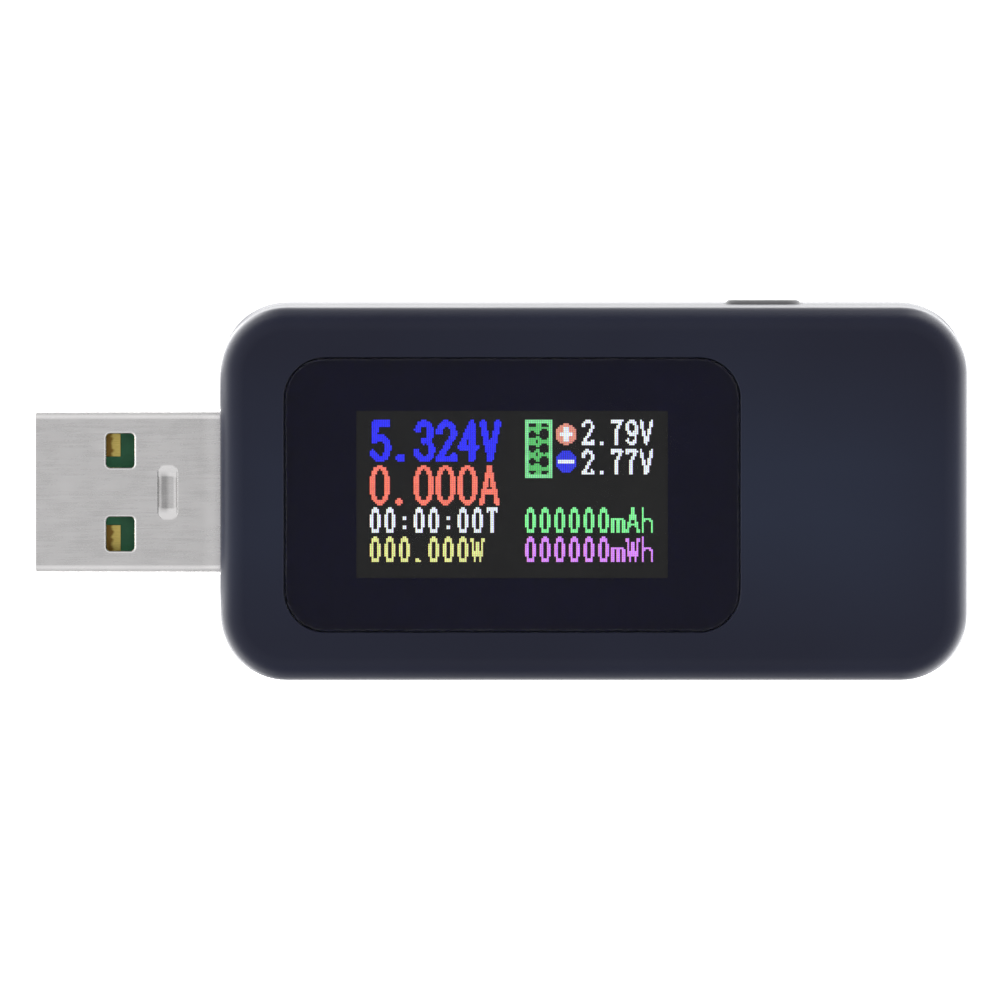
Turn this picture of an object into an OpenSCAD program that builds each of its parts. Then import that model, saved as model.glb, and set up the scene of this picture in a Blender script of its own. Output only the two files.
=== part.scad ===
// USB power meter: a two-shell case with a USB-A plug, a USB-A socket, a colour display and a side button.
// Frame: X runs from the plug (-X) to the socket (+X), +Y is the button's side, +Z is the display face.
// The origin is the centre of the case's flat back face. All sizes are in millimetres.

/* [Case] */
// Length of the case, without the plug
case_length = 54; // [53:0.5:58]
// Width of the case
case_width = 27; // [26.5:0.5:30]
// Thickness of the case, from its back to its display face
case_thickness = 12.6; // [12.4:0.2:14]
// Corner radius of the case seen from the front
corner_radius = 4.8; // [4:0.2:5.6]
// Rounding of the edge around the display face
front_edge = 1.8; // [0.8:0.1:2]
// Rounding of the edge around the back face
back_edge = 1.0; // [0.6:0.1:1.3]
// Wall thickness of both shells
wall = 1.2; // [1.1:0.05:1.3]
// Gap that shows between the two shells
seam_gap = 0.16; // [0.1:0.02:0.3]

/* [Display] */
// Length of the window in the display face
window_length = 33; // [32:0.5:34]
// Width of the window in the display face
window_width = 19.9; // [19.5:0.1:20.3]
// Corner radius of the window
window_corner = 3.0; // [2:0.2:3.6]
// Distance from the case's plug end to the window
window_inset = 4.6; // [4.4:0.1:5]
// Depth of the window's surface below the display face
window_sunk = 0.15; // [0.05:0.05:0.2]
// Thickness of the clear window
window_thick = 1.0; // [0.8:0.1:1.1]
// Length of the display that shows through the mask
view_length = 22.5; // [20:0.5:24]
// Width of the display that shows through the mask
view_width = 12.1; // [11:0.1:12.6]

/* [USB plug] */
// Length of the plug outside the case
plug_length = 13.5; // [12.5:0.1:15]
// Length of the plug's shell inside the case
plug_inside = 5.0; // [4.5:0.1:5.2]

/* [USB socket] */
// Length of the socket's shell
socket_length = 14; // [13.6:0.1:14.4]
// Depth of the socket's mouth below the end of the case
socket_sunk = 0.3; // [0.1:0.1:0.5]

/* [Button] */
// Length of the button
button_length = 5.5; // [4:0.1:6]
// Height of the button
button_height = 2.2; // [1.8:0.1:2.4]
// How far the button stands out of the case
button_proud = 0.32; // [0.2:0.02:1]
// How far the button travels when pressed
button_travel = 0.25; // [0.15:0.05:0.3]
// Distance from the case's middle to the button's middle, towards the socket
button_offset = 12.3; // [11.8:0.1:12.8]

/* [Board] */
// Thickness of the circuit board
board_thick = 1.2; // [1:0.1:1.4]
// Width of the circuit board
board_width = 22; // [21:0.5:22]

/* [Hidden] */
$fn = 64;
HULL_FN = 32;
FILLET_STEPS = 7;
CUT = 1;                                    // how far a cutting solid runs past what it cuts
RUNNING_GAP = 0.1;                          // gap around the button
INSERT_GAP = 0.02;                          // gap between a USB shell and the moulding pressed into it
SHELL_GAP = 0.06;                           // gap between the case and the metal of the plug and the socket

half_length = case_length / 2;
half_width = case_width / 2;
seam_z = case_thickness / 2;                // plane of the seam, the plug and the socket
cavity_x = half_length - wall;
cavity_y = half_width - wall;
cavity_top = case_thickness - wall;

// Window stack, from the display face down: window, printed mask, tape, then the ledge it is stuck to.
mask_thick = 0.1;
tape_thick = 0.15;
ledge_thick = 0.8;
window_gap = 0.12;
window_x = -half_length + window_inset + window_length / 2;
window_top = case_thickness - window_sunk;
window_bottom = window_top - window_thick;
mask_bottom = window_bottom - mask_thick;
ledge_top = mask_bottom - tape_thick;
ledge_bottom = ledge_top - ledge_thick;
rim_width = 1.2;                            // the inner rim that carries the ledge

// Display module: a frame that holds the glass panel above a light guide.
module_length = 28;
module_width = 14.4;
module_thick = 2;
module_wall = 0.7;
module_gap = 0.3;
module_floor = 0.2;
panel_thick = 1.05;
module_top = ledge_top;
module_bottom = module_top - module_thick;
opening_length = module_length + 2 * module_gap;
opening_width = module_width + 2 * module_gap;
flex_width = 10;
flex_thick = 0.12;
led_count = 4;

// USB type A sizes, which are the same on every plug and socket.
PLUG_WIDTH = 12;
PLUG_HEIGHT = 4.5;
PLUG_WALL = 0.3;
PLUG_CORNER = 0.75;
PLUG_WINDOW = [2.03, 2.45];
PLUG_WINDOW_FROM_TIP = 5.22;
PLUG_WINDOW_Y = 3.02;
SOCKET_WIDTH = 13.1;
SOCKET_HEIGHT = 5.72;
SOCKET_WALL = 0.3;
SOCKET_CORNER = 0.5;
SOCKET_DEPTH = 11.9;
CONTACT_Y = [-3.5, -1, 1, 3.5];
CONTACT_THICK = 0.15;

plug_tip = -half_length - plug_length;
plug_tail = -half_length + plug_inside;
plug_tongue_top = seam_z - 0.08;
plug_tongue_recess = 0.5;
plug_base_from_tip = 12.2;
plug_pad_end = plug_tip + 6.2;
lance_from_tip = 8.95;
lance_size = [1.4, 3.85];
lance_drop = 0.18;

socket_mouth = half_length - socket_sunk;
socket_rear = socket_mouth - socket_length;
socket_base_front = socket_mouth - SOCKET_DEPTH;
socket_tongue_front = socket_mouth - 1.7;
socket_tongue_width = 11.1;
socket_tongue_thick = 1.84;
finger_size = [6.8, 2.0];
finger_slot = 0.25;
finger_y = 3.0;

// Circuit board, with its upper face on the seam plane.
board_top = seam_z;
board_bottom = board_top - board_thick;
board_corner = 2;
board_end = cavity_x - 0.6;
board_slack = 0.1;
floor_z = wall;

// Pins on the back shell pass through the board into sockets on the front shell.
post_r = 1.5;
pin_r = 0.7;
pin_hole_r = 0.8;
pin_top = board_top + 1.7;
pin_socket_r = 0.73;
pin_socket_depth = 2.1;
post_x = [-half_length + 7.4, half_length - 5];
post_y = board_width / 2 - 2.05;

// Ribs that hold the plug and the socket between the shells.
rib_size = [0.8, 10];
plug_rib_x = -cavity_x + 1.6;

// Lip and snap hooks that join the shells.
lip_inset = wall - 0.55;
lip_thick = 0.5;
lip_height = 0.8;
lip_gap = 0.05;
hook_x = [window_x - 5, window_x + 9];
hook_width = 4;
hook_thick = 0.8;
hook_barb = 0.42;
hook_low = seam_z - 2.3;
hook_catch = seam_z - 1.3;

// Button and its switch, which is a side-push switch on the board's underside.
plunger_depth = 0.95;                       // depth of the plunger's middle below the board
button_z = board_bottom - plunger_depth;
button_corner = button_height / 2 - 0.02;
button_flange = [button_length + 1.6, button_height + 1];
button_flange_front = cavity_y - RUNNING_GAP;
button_back = button_flange_front - 0.75;
switch_front = button_back - 2 * button_travel;
switch_size = [4.7, 3.5, 1.9];
switch_back = switch_front - switch_size[1];
switch_wall = 0.45;
cover_thick = 0.15;
plunger_size = [2.2, 0.9];
plunger_head = [3.2, 0.8];                  // width and thickness of the plunger's end inside the switch
plunger_gap = 0.05;
dome_seat = switch_back + 1.2;
dome_r = 1.2;
dome_thick = 0.08;
dome_height = 0.45;
dome_width = 1.0;

// Small parts on the underside of the board.
mcu_size = [6.5, 4.4, 1.0];
mcu_at = [-5, 1];
mcu_lead_pitch = 0.65;
mcu_lead_count = 10;
memory_size = [4.9, 3.9, 1.4];
memory_at = [-14.5, 5];
regulator_size = [4.5, 2.5, 1.5];
regulator_at = [-15, -5.5];
shunt_size = [6.4, 3.2, 0.6];
shunt_at = [5.5, -6.5];
chip_lift = 0.1;                            // gap between a chip's body and the board
capacitor_size = [2.0, 1.25, 0.9];
capacitor_at = [[-19.5, 1], [-10.5, -8], [-10.5, -5.5], [1.5, 5], [1.5, 8], [9.5, -2]];
resistor_size = [1.6, 0.8, 0.45];
resistor_at = [[-5, -4.5], [-5, -6.5], [-5, -8.5], [-8, 6], [-8, 8], [5, 1.5], [5, 3.5], [9.5, 2]];

// ---------- Shapes that repeat ----------

module rounded_rect(size, r) {
    square([size[0] - 2 * r, size[1]], center = true);
    square([size[0], size[1] - 2 * r], center = true);
    for (x = [-1, 1], y = [-1, 1])
        translate([x * (size[0] / 2 - r), y * (size[1] / 2 - r)]) circle(r);
}

// The same outline moved outwards by a gap, or inwards by a negative one
module grown_rect(size, r, gap) {
    rounded_rect([size[0] + 2 * gap, size[1] + 2 * gap], r + gap);
}

// A flat plate with rounded corners, between two heights
module plate(size, r, z0, z1) {
    translate([0, 0, z0]) linear_extrude(z1 - z0) rounded_rect(size, r);
}

// A box given by its lowest and highest corners
module box(low, high) {
    translate(low) cube(high - low);
}

// A drawing in the YZ plane, extruded along X
module along_x(x0, x1) {
    translate([x0, 0, 0]) rotate([90, 0, 90]) linear_extrude(x1 - x0) children();
}

// A drawing in the XZ plane, extruded along Y
module along_y(y0, y1) {
    translate([0, y1, 0]) rotate([90, 0, 0]) linear_extrude(y1 - y0) children();
}

module both_sides() {
    children();
    mirror([0, 1, 0]) children();
}

// A small block on the underside of the board, centred on a place
module under_board(size, at, lift = 0) {
    translate([at[0] - size[0] / 2, at[1] - size[1] / 2, board_bottom - lift - size[2]]) cube(size);
}

// ---------- Case ----------

// Outline of a corner of the case, seen from the side: vertical, with both edges rounded
function corner_outline() = concat(
    [[0, 0]],
    [for (i = [0:FILLET_STEPS]) let (a = 90 * i / FILLET_STEPS)
        [corner_radius + back_edge * (sin(a) - 1), back_edge * (1 - cos(a))]],
    [for (i = [0:FILLET_STEPS]) let (a = 90 * i / FILLET_STEPS)
        [corner_radius + front_edge * (cos(a) - 1), case_thickness + front_edge * (sin(a) - 1)]],
    [[0, case_thickness]]
);

module case_form() {
    hull()
        for (x = [-1, 1], y = [-1, 1])
            translate([x * (half_length - corner_radius), y * (half_width - corner_radius), 0])
                rotate_extrude($fn = HULL_FN) polygon(corner_outline());
}

module case_cavity() {
    plate([2 * cavity_x, 2 * cavity_y], corner_radius - wall, wall, cavity_top);
}

// Holes for the plug, the socket and the button, which the seam cuts in two
module case_openings() {
    along_x(-half_length - CUT, -cavity_x + CUT) translate([0, seam_z])
        grown_rect([PLUG_WIDTH, PLUG_HEIGHT], PLUG_CORNER, SHELL_GAP);
    along_x(cavity_x - CUT, half_length + CUT) translate([0, seam_z])
        grown_rect([SOCKET_WIDTH, SOCKET_HEIGHT], SOCKET_CORNER, SHELL_GAP);
    along_y(cavity_y - CUT, half_width + CUT) translate([button_offset, button_z])
        grown_rect([button_length, button_height], button_corner, RUNNING_GAP);
}

// A ring just inside the walls, for the lip and for the groove that takes it
module lip_ring(gap, z0, z1) {
    out = lip_inset - gap;
    in = lip_inset + lip_thick + gap;
    difference() {
        plate([case_length - 2 * out, case_width - 2 * out], corner_radius - out, z0, z1);
        plate([case_length - 2 * in, case_width - 2 * in], corner_radius - in, z0 - CUT, z1 + CUT);
    }
}

// Keeps the lip out of the way of the plug and the socket
module lip_breaks() {
    side = PLUG_WIDTH / 2 + 0.6;
    low = seam_z - CUT;
    high = seam_z + lip_height + CUT;
    box([-half_length, -side, low], [-cavity_x + CUT, side, high]);
    box([cavity_x - CUT, -side - 0.5, low], [half_length, side + 0.5, high]);
}

module snap_hook(x) {
    arm_out = cavity_y - lip_gap;
    box([x - hook_width / 2, arm_out - hook_thick, hook_low], [x + hook_width / 2, arm_out, cavity_top]);
    // The foot that joins the arm to the wall, above the groove
    box([x - hook_width / 2, arm_out - 0.1, seam_z + lip_height + 0.4],
        [x + hook_width / 2, cavity_y + 0.2, cavity_top]);
    along_x(x - hook_width / 2, x + hook_width / 2)
        polygon([[arm_out - 0.1, hook_low], [arm_out, hook_low], [arm_out + hook_barb, hook_catch - 0.2],
            [arm_out + hook_barb, hook_catch], [arm_out - 0.1, hook_catch]]);
}

module hook_pocket(x) {
    box([x - hook_width / 2 - 0.3, cavity_y - CUT, hook_low - 0.1],
        [x + hook_width / 2 + 0.3, cavity_y + hook_barb + 0.05, hook_catch + 0.05]);
}

// A rib across the case, between two heights
module rib(x, z0, z1) {
    box([x - rib_size[0], -rib_size[1] / 2, z0], [x, rib_size[1] / 2, z1]);
}

module front_shell() {
    color([0.16, 0.17, 0.22])
    difference() {
        union() {
            difference() {
                intersection() {
                    case_form();
                    box([-case_length, -case_width, seam_z + seam_gap / 2],
                        [case_length, case_width, case_thickness + CUT]);
                }
                case_cavity();
            }
            // Rim and ledge that carry the window
            translate([window_x, 0, 0])
                plate([window_length + 2 * rim_width, window_width + 2 * rim_width],
                    window_corner + rim_width, ledge_bottom, cavity_top + wall / 2);
            for (x = hook_x) both_sides() snap_hook(x);
            for (x = post_x, y = [-post_y, post_y])
                translate([x, y, board_top]) cylinder(r = post_r, h = cavity_top - board_top + wall / 2);
            // Ribs that press on the plug and the socket
            rib(plug_rib_x, seam_z + PLUG_HEIGHT / 2, cavity_top + wall / 2);
            rib(socket_mouth - 6.5, seam_z + SOCKET_HEIGHT / 2, cavity_top + wall / 2);
        }
        translate([window_x, 0, 0]) {
            plate([window_length, window_width], window_corner, ledge_top, case_thickness + CUT);
            plate([opening_length, opening_width], 0.6, ledge_bottom - CUT, ledge_top + CUT);
        }
        for (x = post_x, y = [-post_y, post_y])
            translate([x, y, board_top - CUT]) cylinder(r = pin_socket_r, h = pin_socket_depth + CUT);
        lip_ring(lip_gap, seam_z - CUT, seam_z + lip_height + lip_gap);
        case_openings();
    }
}

module back_shell() {
    color([0.16, 0.17, 0.22])
    difference() {
        union() {
            difference() {
                intersection() {
                    case_form();
                    box([-case_length, -case_width, -CUT], [case_length, case_width, seam_z - seam_gap / 2]);
                }
                case_cavity();
            }
            difference() {
                lip_ring(0, seam_z - seam_gap, seam_z + lip_height);
                lip_breaks();
            }
            for (x = post_x, y = [-post_y, post_y]) translate([x, y, 0]) {
                translate([0, 0, floor_z / 2]) cylinder(r = post_r, h = board_bottom - floor_z / 2);
                translate([0, 0, floor_z]) cylinder(r = pin_r, h = pin_top - floor_z);
            }
            // Ribs that carry the plug and the socket
            rib(plug_rib_x, floor_z / 2, seam_z - PLUG_HEIGHT / 2);
            for (from_mouth = [4, 10])
                rib(socket_mouth - from_mouth, floor_z / 2, seam_z - SOCKET_HEIGHT / 2);
        }
        for (x = hook_x) both_sides() hook_pocket(x);
        case_openings();
    }
}

// ---------- Display ----------

module display_window() {
    color([0.10, 0.10, 0.13])
    translate([window_x, 0, 0])
        plate([window_length - 2 * window_gap, window_width - 2 * window_gap],
            window_corner - window_gap, window_bottom, window_top);
}

module window_mask() {
    color([0.02, 0.02, 0.03])
    translate([window_x, 0, 0]) difference() {
        plate([window_length - 2 * window_gap, window_width - 2 * window_gap],
            window_corner - window_gap, mask_bottom, window_bottom);
        box([-view_length / 2, -view_width / 2, mask_bottom - CUT],
            [view_length / 2, view_width / 2, window_bottom + CUT]);
    }
}

module window_tape() {
    color([0.05, 0.05, 0.05])
    translate([window_x, 0, 0]) difference() {
        plate([window_length - 0.6, window_width - 0.6], window_corner - 0.3, ledge_top, mask_bottom);
        box([-opening_length / 2 - 0.2, -opening_width / 2 - 0.2, ledge_top - CUT],
            [opening_length / 2 + 0.2, opening_width / 2 + 0.2, mask_bottom + CUT]);
    }
}

module lcd_frame() {
    inner = [module_length - 2 * module_wall, module_width - 2 * module_wall];
    color([0.9, 0.9, 0.88])
    translate([window_x, 0, 0]) difference() {
        box([-module_length / 2, -module_width / 2, module_bottom],
            [module_length / 2, module_width / 2, module_top]);
        box([-inner[0] / 2, -inner[1] / 2, module_bottom + module_floor],
            [inner[0] / 2, inner[1] / 2, module_top + CUT]);
        // Slot for the flexible cable at the socket end
        box([0, -flex_width / 2 - 0.2, module_bottom + module_floor],
            [module_length, flex_width / 2 + 0.2, module_bottom + module_floor + 0.35]);
    }
}

module lcd_panel() {
    size = [module_length - 2 * module_wall - 0.1, module_width - 2 * module_wall - 0.1];
    color([0.15, 0.15, 0.15])
    translate([window_x, 0, 0])
        box([-size[0] / 2, -size[1] / 2, module_top - panel_thick], [size[0] / 2, size[1] / 2, module_top]);
}

module lcd_light_guide() {
    size = [module_length - 2 * module_wall - 2.2, module_width - 2 * module_wall - 0.1];
    color([0.95, 0.95, 0.95])
    translate([window_x, 0, 0])
        box([-size[0] / 2 + 1, -size[1] / 2, module_bottom + module_floor + 0.15],
            [size[0] / 2 + 1, size[1] / 2, module_top - panel_thick]);
}

module lcd_leds() {
    left = window_x - module_length / 2 + module_wall + 0.1;
    color([1, 0.95, 0.7])
    for (i = [0:led_count - 1])
        translate([left, (i - (led_count - 1) / 2) * 3 - 0.8, module_bottom + module_floor])
            cube([1.2, 1.6, 0.6]);
}

// Flexible cable: out of the frame at the socket end, round a bend and back onto the board
module lcd_flex() {
    upper = module_bottom + module_floor;
    middle = (upper + flex_thick + board_top) / 2;
    bend_x = window_x + module_length / 2 + 0.5;
    outer = middle - board_top;
    color([0.75, 0.45, 0.1])
    along_y(-flex_width / 2, flex_width / 2) {
        translate([bend_x - 2.5, upper]) square([2.5, flex_thick]);
        translate([bend_x - 3.2, board_top]) square([3.2, flex_thick]);
        translate([bend_x, middle]) intersection() {
            difference() {
                circle(outer);
                circle(outer - flex_thick);
            }
            translate([0, -outer - CUT]) square([outer + CUT, 2 * outer + 2 * CUT]);
        }
    }
}

module foam_pad() {
    color([0.25, 0.25, 0.27])
    box([window_x - 11, -4.5, board_top], [window_x + 8.5, 4.5, module_bottom]);
}

// ---------- Board ----------

module main_board() {
    color([0.05, 0.35, 0.15])
    difference() {
        plate([2 * board_end, board_width], board_corner, board_bottom, board_top);
        box([-board_end - CUT, -PLUG_WIDTH / 2 - 0.15, board_bottom - CUT],
            [plug_tail + board_slack, PLUG_WIDTH / 2 + 0.15, board_top + CUT]);
        box([socket_rear - board_slack, -SOCKET_WIDTH / 2 - 0.15, board_bottom - CUT],
            [board_end + CUT, SOCKET_WIDTH / 2 + 0.15, board_top + CUT]);
        both_sides() plug_tab(0.05);
        for (x = post_x, y = [-post_y, post_y])
            translate([x, y, board_bottom - CUT]) cylinder(r = pin_hole_r, h = board_thick + 2 * CUT);
    }
}

module mcu_chip() {
    color([0.12, 0.12, 0.12]) under_board(mcu_size, mcu_at, chip_lift);
}

module mcu_leads() {
    lead = [0.24, 1.0, 0.15];
    color([0.8, 0.8, 0.8])
    for (i = [0:mcu_lead_count - 1], side = [-1, 1])
        translate([mcu_at[0] + (i - (mcu_lead_count - 1) / 2) * mcu_lead_pitch,
                mcu_at[1] + side * (mcu_size[1] / 2 + lead[1] / 2), board_bottom]) {
            translate([-lead[0] / 2, -lead[1] / 2, -lead[2]]) cube(lead);
            translate([-lead[0] / 2, side > 0 ? -lead[1] / 2 : lead[1] / 2 - lead[2], -0.7])
                cube([lead[0], lead[2], 0.7]);
        }
}

module memory_chip() {
    color([0.12, 0.12, 0.12]) under_board(memory_size, memory_at, 0);
}

module voltage_regulator() {
    color([0.12, 0.12, 0.12]) under_board(regulator_size, regulator_at, 0);
}

module shunt_resistor() {
    color([0.3, 0.3, 0.3]) under_board(shunt_size, shunt_at, 0);
}

module capacitors() {
    color([0.7, 0.55, 0.35]) for (at = capacitor_at) under_board(capacitor_size, at);
}

module resistors() {
    color([0.1, 0.1, 0.1]) for (at = resistor_at) under_board(resistor_size, at);
}

// ---------- USB plug ----------

// Tab of the plug's shell that stands in a notch of the board
module plug_tab(gap) {
    box([plug_tail - 0.1, PLUG_WIDTH / 2 - PLUG_WALL - gap, seam_z - 1.3 - gap],
        [plug_tail + 1.7 + gap, PLUG_WIDTH / 2 + gap, seam_z + 0.5 + gap]);
}

module plug_shell() {
    lance_x = plug_tip + lance_from_tip;
    window_x0 = plug_tip + PLUG_WINDOW_FROM_TIP;
    face = seam_z + PLUG_HEIGHT / 2;
    color([0.72, 0.72, 0.72]) {
        difference() {
            along_x(plug_tip, plug_tail) translate([0, seam_z]) difference() {
                rounded_rect([PLUG_WIDTH, PLUG_HEIGHT], PLUG_CORNER);
                grown_rect([PLUG_WIDTH, PLUG_HEIGHT], PLUG_CORNER, -PLUG_WALL);
            }
            for (y = [-PLUG_WINDOW_Y, PLUG_WINDOW_Y])
                box([window_x0, y - PLUG_WINDOW[1] / 2, seam_z - PLUG_HEIGHT],
                    [window_x0 + PLUG_WINDOW[0], y + PLUG_WINDOW[1] / 2, seam_z + PLUG_HEIGHT]);
            box([lance_x, -lance_size[1] / 2, face - PLUG_WALL - CUT / 2],
                [lance_x + lance_size[0], lance_size[1] / 2, face + CUT]);
        }
        // Bridge pressed down inside the slot
        box([lance_x + 0.35, -lance_size[1] / 2 - 0.15, face - PLUG_WALL - lance_drop],
            [lance_x + lance_size[0] - 0.05, lance_size[1] / 2 + 0.15, face - lance_drop]);
        both_sides() plug_tab(0);
    }
}

// Side view of one contact: a pad, a run inside the tongue and a tail on the board
module plug_contact_outline(start) {
    t = CONTACT_THICK;
    pad = plug_tongue_top + 0.03;
    run = pad - 0.6;
    riser = plug_tail - 0.6;
    polygon([[start, pad], [plug_pad_end, pad], [plug_pad_end, run], [riser - t, run],
        [riser - t, board_top + t], [plug_tail + 1.6, board_top + t], [plug_tail + 1.6, board_top],
        [riser, board_top], [riser, run - t], [plug_pad_end - t, run - t], [plug_pad_end - t, pad - t],
        [start, pad - t]]);
}

module plug_contact_strips() {
    for (y = CONTACT_Y) {
        outer = abs(y) > 2;
        half = outer ? 1 : 0.55;
        along_y(y - half, y + half) plug_contact_outline(plug_tip + (outer ? 1.1 : 2.1));
    }
}

// A tongue that fills the lower half of the shell, in front of a base that fills all of it
module plug_tongue() {
    front = plug_tip + plug_tongue_recess;
    color([0.05, 0.3, 0.2])
    difference() {
        along_x(front, plug_tail) translate([0, seam_z])
            grown_rect([PLUG_WIDTH, PLUG_HEIGHT], PLUG_CORNER, -PLUG_WALL - INSERT_GAP);
        box([front - CUT, -PLUG_WIDTH, plug_tongue_top],
            [plug_tip + plug_base_from_tip, PLUG_WIDTH, seam_z + PLUG_HEIGHT]);
        plug_contact_strips();
    }
}

module plug_contacts() {
    color([0.85, 0.68, 0.3]) plug_contact_strips();
}

// ---------- USB socket ----------

// Side view of a spring finger of the socket's shell, drawn below its upper wall
module finger_outline() {
    root = socket_base_front + 0.2;
    tip = root + finger_size[0];
    face = seam_z + SOCKET_HEIGHT / 2;
    t = SOCKET_WALL;
    polygon([[root - 0.4, face], [root, face], [tip - 1.2, face - 0.35], [tip, face - 0.1],
        [tip, face - 0.1 - t], [tip - 1.2, face - 0.35 - t], [root, face - t], [root - 0.4, face - t]]);
}

module socket_finger_slots() {
    root = socket_base_front + 0.2;
    half = finger_size[1] / 2 + finger_slot;
    face = seam_z + SOCKET_HEIGHT / 2;
    for (y = [-finger_y, finger_y])
        box([root, y - half, face - SOCKET_WALL - CUT / 2],
            [root + finger_size[0] + finger_slot, y + half, face + CUT]);
}

module socket_fingers() {
    for (y = [-finger_y, finger_y])
        along_y(y - finger_size[1] / 2, y + finger_size[1] / 2) finger_outline();
}

// The same on the socket's upper and lower walls
module above_and_below() {
    children();
    translate([0, 0, 2 * seam_z]) mirror([0, 0, 1]) children();
}

module socket_shell() {
    exit_side = 4.4;
    color([0.72, 0.72, 0.72]) {
        difference() {
            along_x(socket_rear, socket_mouth) translate([0, seam_z])
                rounded_rect([SOCKET_WIDTH, SOCKET_HEIGHT], SOCKET_CORNER);
            along_x(socket_rear + SOCKET_WALL, socket_mouth + CUT) translate([0, seam_z])
                grown_rect([SOCKET_WIDTH, SOCKET_HEIGHT], SOCKET_CORNER, -SOCKET_WALL);
            // Where the contacts leave the shell
            box([socket_rear - CUT, -exit_side, seam_z - 0.2], [socket_rear + CUT, exit_side, seam_z + 0.5]);
            above_and_below() socket_finger_slots();
        }
        above_and_below() socket_fingers();
        // Wings that are soldered to the board
        both_sides()
            box([socket_rear + 4.5, SOCKET_WIDTH / 2 - SOCKET_WALL / 2, board_top],
                [socket_rear + 7, SOCKET_WIDTH / 2 + 1.5, board_top + SOCKET_WALL]);
    }
}

// Side view of one contact: a strip under the tongue with a bow that touches the plug, and a tail
module socket_contact_outline() {
    t = 0.2;
    bow = socket_tongue_front - 4;
    tail = socket_rear - 1.5;
    tip = socket_tongue_front - 0.7;
    polygon([[tail, board_top], [bow - 1.3, board_top], [bow, board_top - 0.28], [bow + 1.3, board_top],
        [tip, board_top], [tip, board_top + t], [bow + 1.3, board_top + t], [bow, board_top - 0.28 + t],
        [bow - 1.3, board_top + t], [tail, board_top + t]]);
}

module socket_housing() {
    groove = 0.22;
    color([0.05, 0.3, 0.2])
    difference() {
        union() {
            along_x(socket_rear + SOCKET_WALL, socket_base_front) translate([0, seam_z])
                grown_rect([SOCKET_WIDTH, SOCKET_HEIGHT], SOCKET_CORNER, -SOCKET_WALL - INSERT_GAP);
            box([socket_base_front - CUT, -socket_tongue_width / 2, board_top],
                [socket_tongue_front, socket_tongue_width / 2, board_top + socket_tongue_thick]);
        }
        for (y = CONTACT_Y)
            box([socket_rear - CUT, y - 0.5, board_top],
                [socket_tongue_front - 0.6, y + 0.5, board_top + groove]);
    }
}

module socket_contacts() {
    color([0.85, 0.68, 0.3])
    for (y = CONTACT_Y) along_y(y - 0.45, y + 0.45) socket_contact_outline();
}

// ---------- Button ----------

module button_cap() {
    color([0.14, 0.14, 0.17])
    translate([button_offset, 0, button_z]) {
        along_y(button_flange_front - 0.2, half_width + button_proud)
            rounded_rect([button_length, button_height], button_corner);
        along_y(button_back, button_flange_front) rounded_rect(button_flange, 0.8);
    }
}

// Hangs what is drawn upwards from zero under the board, in line with the button
module hung_switch() {
    translate([button_offset, 0, board_bottom]) mirror([0, 0, 1]) children();
}

module switch_base() {
    side = switch_size[0] / 2;
    top = switch_size[2] - cover_thick;
    slot = plunger_size / 2 + [plunger_gap, plunger_gap];
    color([0.1, 0.1, 0.1])
    hung_switch() difference() {
        box([-side, switch_back, 0], [side, switch_front, top]);
        box([-side + switch_wall, dome_seat, 0.4], [side - switch_wall, switch_front - 0.4, top + CUT]);
        box([-slot[0], switch_front - CUT, plunger_depth - slot[1]],
            [slot[0], switch_front + CUT, top + CUT]);
    }
}

module switch_cover() {
    side = switch_size[0] / 2;
    color([0.75, 0.75, 0.75])
    hung_switch()
        box([-side, switch_back, switch_size[2] - cover_thick], [side, switch_front, switch_size[2]]);
}

// Snap dome: a strip of a thin metal cap, whose bulge faces the plunger
module switch_dome() {
    bowl_r = (dome_r * dome_r + dome_height * dome_height) / (2 * dome_height);
    color([0.8, 0.8, 0.8])
    hung_switch() translate([0, dome_seat, plunger_depth]) rotate([-90, 0, 0])
        intersection() {
            translate([0, 0, dome_height - bowl_r]) difference() {
                sphere(bowl_r);
                sphere(bowl_r - dome_thick);
            }
            translate([-dome_r - CUT, -dome_width / 2, 0])
                cube([2 * dome_r + 2 * CUT, dome_width, dome_height + CUT]);
        }
}

module switch_plunger() {
    dome_tip = dome_seat + dome_height;
    half = plunger_size / 2;
    color([0.85, 0.85, 0.8])
    hung_switch() translate([0, 0, plunger_depth]) {
        box([-half[0], dome_tip, -half[1]], [half[0], button_back, half[1]]);
        box([-plunger_head[0] / 2, dome_tip, -half[1]],
            [plunger_head[0] / 2, dome_tip + plunger_head[1], half[1]]);
    }
}

module switch_terminals() {
    size = [0.8, 0.5, 0.2];
    color([0.8, 0.8, 0.8])
    hung_switch() translate([0, switch_back, size[2] / 2])
        for (side = [-1, 1], y = [0.75, 2.65])
            translate([side * (switch_size[0] + size[0]) / 2, y, 0]) cube(size, center = true);
}

front_shell();
back_shell();
display_window();
window_mask();
window_tape();
lcd_frame();
lcd_panel();
lcd_light_guide();
lcd_leds();
lcd_flex();
foam_pad();
main_board();
mcu_chip();
mcu_leads();
memory_chip();
voltage_regulator();
shunt_resistor();
capacitors();
resistors();
plug_shell();
plug_tongue();
plug_contacts();
socket_shell();
socket_housing();
socket_contacts();
button_cap();
switch_base();
switch_cover();
switch_dome();
switch_plunger();
switch_terminals();
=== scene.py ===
"""Looks of the USB power meter: visual pieces, materials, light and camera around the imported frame."""

import math

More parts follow.
